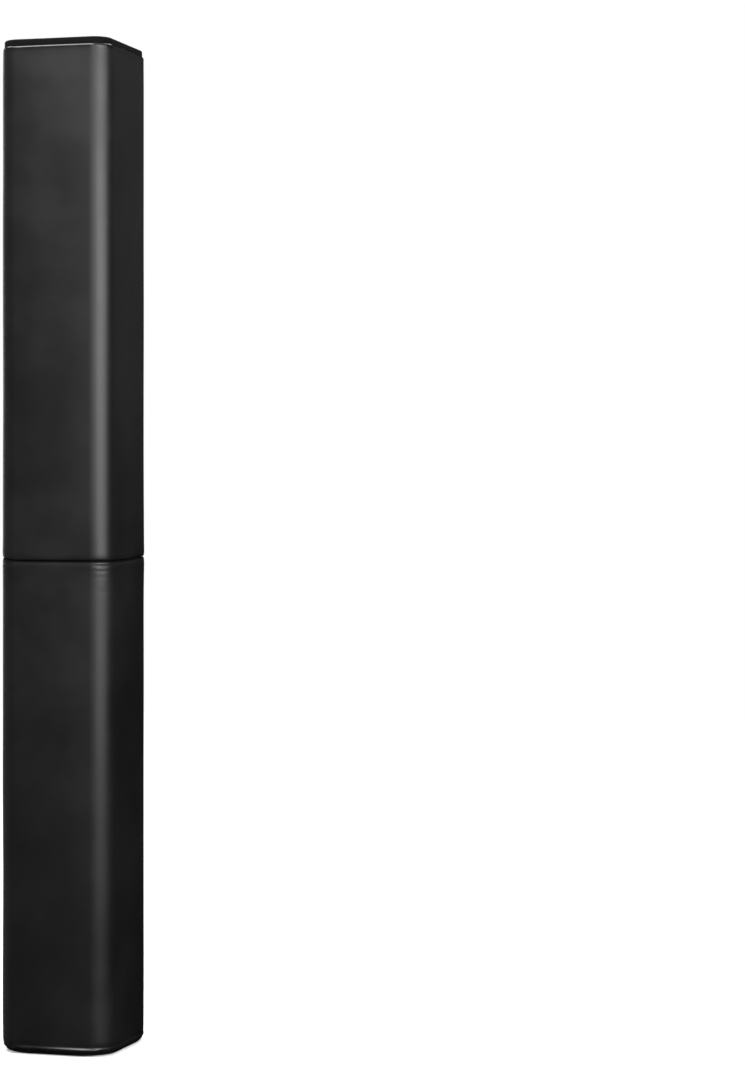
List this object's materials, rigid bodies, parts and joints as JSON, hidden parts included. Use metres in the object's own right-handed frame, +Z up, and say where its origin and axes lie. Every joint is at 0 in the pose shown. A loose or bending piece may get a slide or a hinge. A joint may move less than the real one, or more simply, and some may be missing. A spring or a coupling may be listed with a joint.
{
  "type": "goal pole pad",
  "caption": "Square wrap-around foam pad for a goal pole, in stacked padded sections with rounded corners, folding open at the back behind hook and loop flaps.",
  "frame": {"origin": "on the pole's axis, at floor level", "axes": "+Z up along the pole; the front face looks along -Y and the closing flap is on the +Y side"},
  "size_m": [0.215, 0.214, 1.8288],
  "materials": {
    "vinyl": "satin",
    "end_vinyl": "matte",
    "lining": "matte",
    "foam": "matte",
    "tape": "matte"
  },
  "bodies": {
    "lower_front": {"lower_front_foam": "foam", "lower_front_cover": "vinyl", "lower_front_liner": "lining", "lower_front_top_end": "end_vinyl", "lower_front_bottom_end": "end_vinyl"},
    "lower_right_side": {"lower_right_side_foam": "foam", "lower_right_side_cover": "vinyl", "lower_right_side_liner": "lining", "lower_right_side_top_end": "end_vinyl", "lower_right_side_bottom_end": "end_vinyl"},
    "lower_right_rear": {"lower_right_rear_foam": "foam", "lower_right_rear_cover": "vinyl", "lower_right_rear_liner": "lining", "lower_right_rear_top_end": "end_vinyl", "lower_right_rear_bottom_end": "end_vinyl"},
    "lower_left_rear": {"lower_left_rear_foam": "foam", "lower_left_rear_cover": "vinyl", "lower_left_rear_liner": "lining", "lower_left_rear_top_end": "end_vinyl", "lower_left_rear_bottom_end": "end_vinyl", "lower_loop_tape": "tape"},
    "lower_left_side": {"lower_left_side_foam": "foam", "lower_left_side_cover": "vinyl", "lower_left_side_liner": "lining", "lower_left_side_top_end": "end_vinyl", "lower_left_side_bottom_end": "end_vinyl"},
    "lower_flap": {"lower_closing_flap": "vinyl", "lower_hook_tape": "tape"},
    "upper_front": {"upper_front_foam": "foam", "upper_front_cover": "vinyl", "upper_front_liner": "lining", "upper_front_top_end": "end_vinyl", "upper_front_bottom_end": "end_vinyl"},
    "upper_right_side": {"upper_right_side_foam": "foam", "upper_right_side_cover": "vinyl", "upper_right_side_liner": "lining", "upper_right_side_top_end": "end_vinyl", "upper_right_side_bottom_end": "end_vinyl"},
    "upper_right_rear": {"upper_right_rear_foam": "foam", "upper_right_rear_cover": "vinyl", "upper_right_rear_liner": "lining", "upper_right_rear_top_end": "end_vinyl", "upper_right_rear_bottom_end": "end_vinyl"},
    "upper_left_rear": {"upper_left_rear_foam": "foam", "upper_left_rear_cover": "vinyl", "upper_left_rear_liner": "lining", "upper_left_rear_top_end": "end_vinyl", "upper_left_rear_bottom_end": "end_vinyl", "upper_loop_tape": "tape"},
    "upper_left_side": {"upper_left_side_foam": "foam", "upper_left_side_cover": "vinyl", "upper_left_side_liner": "lining", "upper_left_side_top_end": "end_vinyl", "upper_left_side_bottom_end": "end_vinyl"},
    "upper_flap": {"upper_closing_flap": "vinyl", "upper_hook_tape": "tape"}
  },
  "joints": [
    {"name": "upper_section_lift", "type": "slide", "parent": "lower_front", "child": "upper_front", "axis": [0, 0, 1], "range_m": [0, 0.6]},
    {"name": "lower_right_side_fold", "type": "hinge", "parent": "lower_front", "child": "lower_right_side", "pos_m": [0.09504, -0.09504, 0], "axis": [0, 0, -1], "range_deg": [0, 90]},
    {"name": "lower_left_side_fold", "type": "hinge", "parent": "lower_front", "child": "lower_left_side", "pos_m": [-0.09504, -0.09504, 0], "axis": [0, 0, 1], "range_deg": [0, 90]},
    {"name": "lower_right_rear_fold", "type": "hinge", "parent": "lower_right_side", "child": "lower_right_rear", "pos_m": [0.09914, 0.09914, 0], "axis": [0, 0, -1], "range_deg": [0, 90]},
    {"name": "lower_left_rear_fold", "type": "hinge", "parent": "lower_left_side", "child": "lower_left_rear", "pos_m": [-0.09914, 0.09914, 0], "axis": [0, 0, 1], "range_deg": [0, 90]},
    {"name": "lower_flap_peel", "type": "hinge", "parent": "lower_right_rear", "child": "lower_flap", "pos_m": [0.022, 0.1059, 0], "axis": [0, 0, -1], "range_deg": [0, 175]},
    {"name": "upper_right_side_fold", "type": "hinge", "parent": "upper_front", "child": "upper_right_side", "pos_m": [0.09504, -0.09504, 0], "axis": [0, 0, -1], "range_deg": [0, 90]},
    {"name": "upper_left_side_fold", "type": "hinge", "parent": "upper_front", "child": "upper_left_side", "pos_m": [-0.09504, -0.09504, 0], "axis": [0, 0, 1], "range_deg": [0, 90]},
    {"name": "upper_right_rear_fold", "type": "hinge", "parent": "upper_right_side", "child": "upper_right_rear", "pos_m": [0.09914, 0.09914, 0], "axis": [0, 0, -1], "range_deg": [0, 90]},
    {"name": "upper_left_rear_fold", "type": "hinge", "parent": "upper_left_side", "child": "upper_left_rear", "pos_m": [-0.09914, 0.09914, 0], "axis": [0, 0, 1], "range_deg": [0, 90]},
    {"name": "upper_flap_peel", "type": "hinge", "parent": "upper_right_rear", "child": "upper_flap", "pos_m": [0.022, 0.1059, 0], "axis": [0, 0, -1], "range_deg": [0, 175]}
  ],
  "couplings": [
    {"joint": "lower_left_side_fold", "follows": "lower_right_side_fold", "ratio": 1},
    {"joint": "lower_left_rear_fold", "follows": "lower_right_rear_fold", "ratio": 1},
    {"joint": "upper_left_side_fold", "follows": "upper_right_side_fold", "ratio": 1},
    {"joint": "upper_left_rear_fold", "follows": "upper_right_rear_fold", "ratio": 1}
  ]
}
